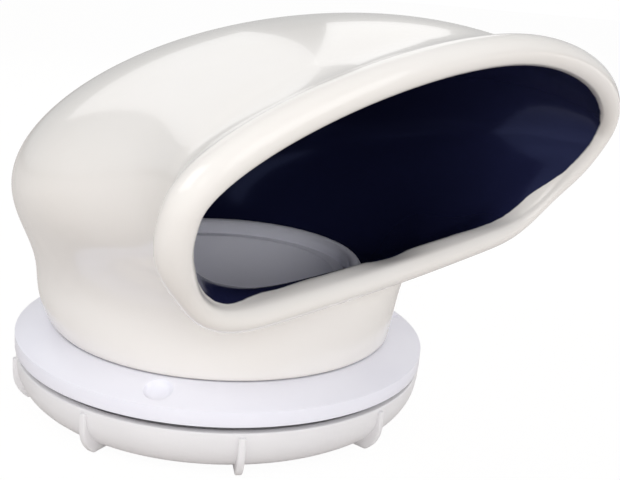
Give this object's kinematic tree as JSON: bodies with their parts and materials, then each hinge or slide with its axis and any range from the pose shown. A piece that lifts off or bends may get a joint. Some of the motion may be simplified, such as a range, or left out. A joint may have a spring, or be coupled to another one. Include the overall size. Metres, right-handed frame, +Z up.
{
  "type": "deck ventilator",
  "caption": "Low-profile cowl ventilator: a soft hood with a wide rolled-lip mouth that swivels on a round deck ring, clamped through the deck by a ribbed ring nut.",
  "frame": {"origin": "on the axis of the throat, on the plane of the flange's underside, which lies on the deck", "axes": "+Z up along the throat's axis, -Y out of the cowl's mouth, +X across the mouth"},
  "size_m": [0.2622, 0.2025, 0.1565],
  "materials": {
    "cowl": "glossy cream soft moulding, glossy navy inside",
    "deck_ring": "cool white satin moulding",
    "clamp_nut": "warm white satin moulding"
  },
  "bodies": {
    "ring_body": {"deck_ring": "deck_ring"},
    "cowl_body": {"cowl": "cowl"},
    "nut_body": {"clamp_nut": "clamp_nut"}
  },
  "joints": [
    {"name": "cowl_swivel", "type": "hinge", "parent": "ring_body", "child": "cowl_body", "pos_m": [0, 0, 0.0135], "axis": [0, 0, 1], "continuous": true},
    {"name": "nut_travel", "type": "slide", "parent": "ring_body", "child": "nut_body", "axis": [0, 0, 1], "range_m": [-0.03, 0.0022]}
  ]
}
